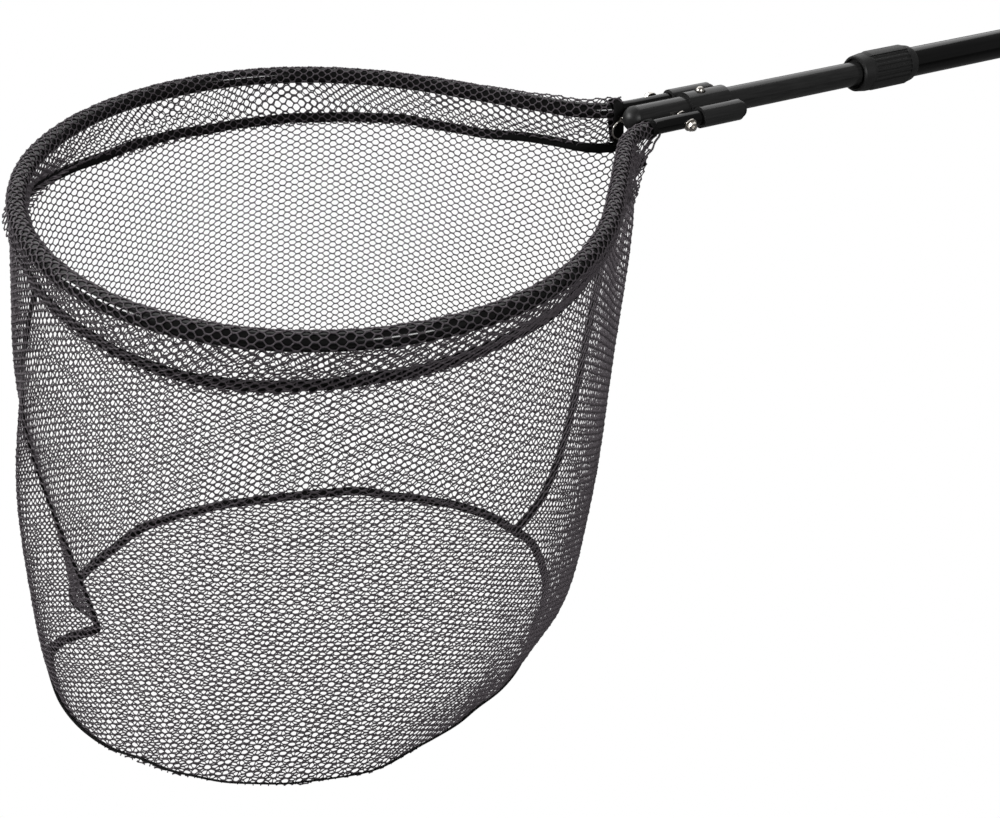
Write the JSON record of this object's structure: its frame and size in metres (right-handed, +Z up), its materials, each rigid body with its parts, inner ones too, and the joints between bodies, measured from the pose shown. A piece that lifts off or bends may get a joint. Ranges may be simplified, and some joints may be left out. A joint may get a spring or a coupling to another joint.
{
  "type": "landing net",
  "caption": "Telescopic landing net: teardrop hoop with a deep hexagonal-mesh bag, held by a triple-bore yoke on a twist-lock handle.",
  "frame": {"origin": "on the handle's axis, at the middle of the hand grip", "axes": "+X along the handle towards its butt, so the hoop is at -X; +Z up, square to the hoop's plane; the bag hangs towards -Z"},
  "size_m": [1.3406, 0.4308, 0.4159],
  "materials": {
    "gloss_tube": "gloss black anodised aluminium tube",
    "anodised": "satin black anodised extrusion",
    "moulded": "satin black moulded nylon",
    "collar": "satin black moulded nylon, fluted",
    "rubber": "matt black rubber",
    "foam": "matt black EVA foam",
    "nickel": "nickel plated steel",
    "spring_steel": "spring steel",
    "netting": "black coated hexagonal knitted mesh",
    "webbing": "black woven polyester tape"
  },
  "bodies": {
    "outer_handle": {"outer_tube": "gloss_tube", "foam_grip": "foam", "grip_trim_ring": "anodised", "butt_cap": "moulded", "lock_ferrule": "moulded", "grip_collet": "moulded", "ferrule_rivets": "nickel"},
    "lock_collar": {"twist_collar": "collar", "wiper_ring": "rubber"},
    "inner_handle": {"inner_tube": "anodised", "hoop_tube": "gloss_tube", "front_plug": "moulded", "rear_guide_bush": "moulded", "bush_rivets": "nickel", "yoke": "anodised", "button_spring": "spring_steel", "arm_bolts": "nickel", "arm_washers": "nickel", "arm_nuts": "nickel", "arm_plugs": "moulded", "throat_link": "nickel", "hoop_netting_sleeve": "netting", "netting_band": "netting", "netting_wall": "netting", "netting_floor": "netting", "seam_tape_ring": "webbing", "floor_seam_tape": "webbing", "handle_side_seam_tape": "webbing", "far_end_seam_tape": "webbing", "throat_edge_tape": "webbing"},
    "button": {"snap_button": "nickel"},
    "hanging_ring": {"throat_ring": "nickel"}
  },
  "joints": [
    {"name": "telescope", "type": "slide", "parent": "outer_handle", "child": "inner_handle", "axis": [-1, 0, 0], "range_m": [0, 0.4]},
    {"name": "collar_twist", "type": "hinge", "parent": "outer_handle", "child": "lock_collar", "pos_m": [-0.445, 0, 0], "axis": [1, 0, 0], "range_deg": [0, 100]},
    {"name": "button_press", "type": "slide", "parent": "inner_handle", "child": "button", "axis": [0, 0, -1], "range_m": [0, 0.0061], "stiffness_N_per_m": 1200, "springref_m": -0.001, "deforming": ["button_spring"]},
    {"name": "ring_swing", "type": "hinge", "parent": "inner_handle", "child": "hanging_ring", "pos_m": [-0.7065, 0.0113, -0.00615], "axis": [0, 1, 0], "range_deg": [-25, 25]}
  ]
}
